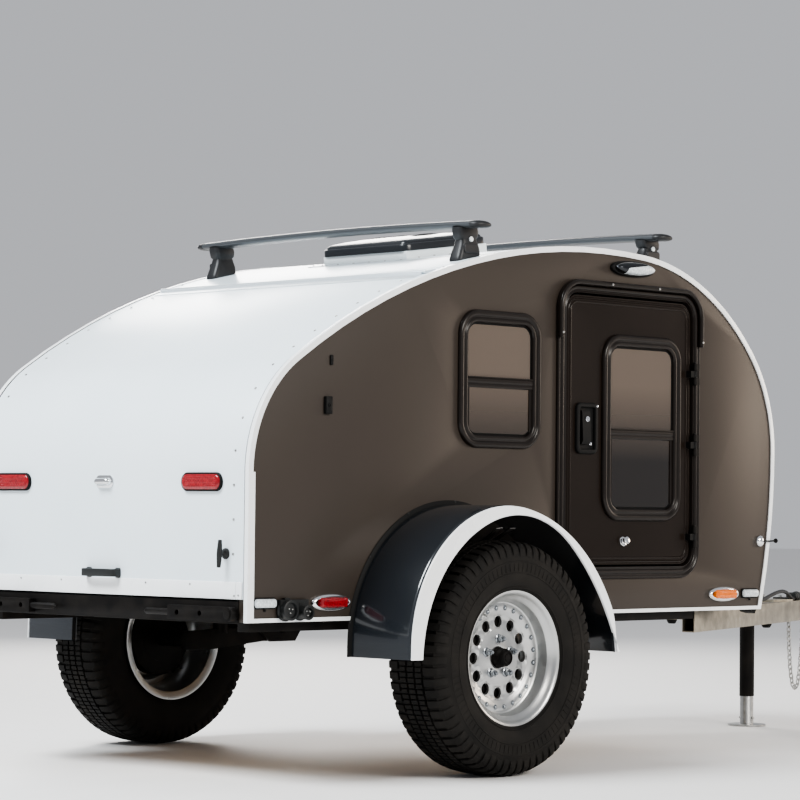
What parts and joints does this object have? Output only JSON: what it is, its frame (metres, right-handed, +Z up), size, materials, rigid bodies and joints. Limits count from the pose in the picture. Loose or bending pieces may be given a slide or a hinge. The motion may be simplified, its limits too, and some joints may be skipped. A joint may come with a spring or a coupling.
{
  "type": "teardrop trailer",
  "caption": "Small teardrop-shaped camping trailer with side doors, a rear galley hatch, roof bars, a roof vent, fendered wheels and an A-frame tongue on a jack.",
  "frame": {"origin": "on the floor, midway along the whole length and width", "axes": "+X towards the coupler, +Y to the trailer's left, +Z up"},
  "size_m": [3.766, 1.813, 1.752],
  "materials": {
    "frame_black": "satin",
    "galvanised": "matte zinc",
    "coupler_black": "satin",
    "cable_black": "matte",
    "wood": "varnished",
    "bronze_panel": "satin",
    "white_skin": "satin white",
    "white_trim": "gloss",
    "dark_bronze": "satin",
    "tinted_glass": "tinted",
    "fender_paint": "gloss",
    "lamp_lens": "clear",
    "black_plastic": "matte",
    "white_plastic": "matte",
    "smoke_plastic": "smoked",
    "bar_black": "satin",
    "zinc": "zinc plated",
    "tyre": "rubber",
    "bright_alloy": "bright",
    "hinge_alloy": "satin",
    "hatch_panel": "satin",
    "chrome": "polished",
    "red_lens": "gloss"
  },
  "bodies": {
    "chassis": {"frame_rails": "frame_black", "tongue_frame": "galvanised", "coupler": "coupler_black", "jack_tube": "frame_black", "tow_cable": "cable_black", "suspension_right": "frame_black", "suspension_left": "frame_black", "floor": "wood", "side_wall_right": "bronze_panel", "side_wall_left": "bronze_panel", "roof": "white_skin", "front_wall": "white_skin", "bulkhead": "wood", "galley_counter": "wood", "edge_trims": "white_trim", "door_frames": "dark_bronze", "window_frames": "dark_bronze", "window_glass": "tinted_glass", "fender_right": "fender_paint", "fender_left": "fender_paint", "fender_edges": "white_trim", "side_lamps": "lamp_lens", "power_inlets": "black_plastic", "vent_base": "white_plastic", "roof_bars": "bar_black", "hatch_hinge": "hinge_alloy"},
    "jack_leg": {"jack_leg": "zinc"},
    "wheel_right": {"tyre_right": "tyre", "rim_right": "bright_alloy", "hub_right": "frame_black"},
    "wheel_left": {"tyre_left": "tyre", "rim_left": "bright_alloy", "hub_left": "frame_black"},
    "door_right": {"door_right": "bronze_panel", "door_sash_right": "dark_bronze", "door_glass_right": "tinted_glass"},
    "door_left": {"door_left": "bronze_panel", "door_sash_left": "dark_bronze", "door_glass_left": "tinted_glass"},
    "hatch": {"hatch_skin": "white_skin", "hatch_core": "hatch_panel", "hatch_fittings": "chrome", "tail_lamps": "red_lens"},
    "vent_lid": {"vent_lid": "smoke_plastic"},
    "stabiliser_right": {"stabiliser_right": "frame_black"},
    "stabiliser_left": {"stabiliser_left": "frame_black"}
  },
  "joints": [
    {"name": "wheel_right_spin", "type": "hinge", "parent": "chassis", "child": "wheel_right", "pos_m": [-0.969, -0.795, 0.359], "axis": [0, 1, 0], "continuous": true},
    {"name": "wheel_left_spin", "type": "hinge", "parent": "chassis", "child": "wheel_left", "pos_m": [-0.969, 0.795, 0.359], "axis": [0, 1, 0], "continuous": true},
    {"name": "door_right_hinge", "type": "hinge", "parent": "chassis", "child": "door_right", "pos_m": [0.1725, -0.666, 1], "axis": [0, 0, 1], "range_deg": [0, 110]},
    {"name": "door_left_hinge", "type": "hinge", "parent": "chassis", "child": "door_left", "pos_m": [0.1725, 0.666, 1], "axis": [0, 0, -1], "range_deg": [0, 110]},
    {"name": "hatch_hinge", "type": "hinge", "parent": "chassis", "child": "hatch", "pos_m": [-1.097, 0, 1.54244], "axis": [0, 1, 0], "range_deg": [0, 80]},
    {"name": "vent_lid_hinge", "type": "hinge", "parent": "chassis", "child": "vent_lid", "pos_m": [-0.35698, 0, 1.71817], "axis": [0, 1, 0], "range_deg": [0, 60]},
    {"name": "jack_leg_slide", "type": "slide", "parent": "chassis", "child": "jack_leg", "axis": [0, 0, 1], "range_m": [-0.12, 0.07]},
    {"name": "stabiliser_right_pivot", "type": "hinge", "parent": "chassis", "child": "stabiliser_right", "pos_m": [-1.864, -0.592, 0.499], "axis": [-1, 0, 0], "range_deg": [0, 90]},
    {"name": "stabiliser_left_pivot", "type": "hinge", "parent": "chassis", "child": "stabiliser_left", "pos_m": [-1.864, 0.592, 0.499], "axis": [1, 0, 0], "range_deg": [0, 90]}
  ]
}
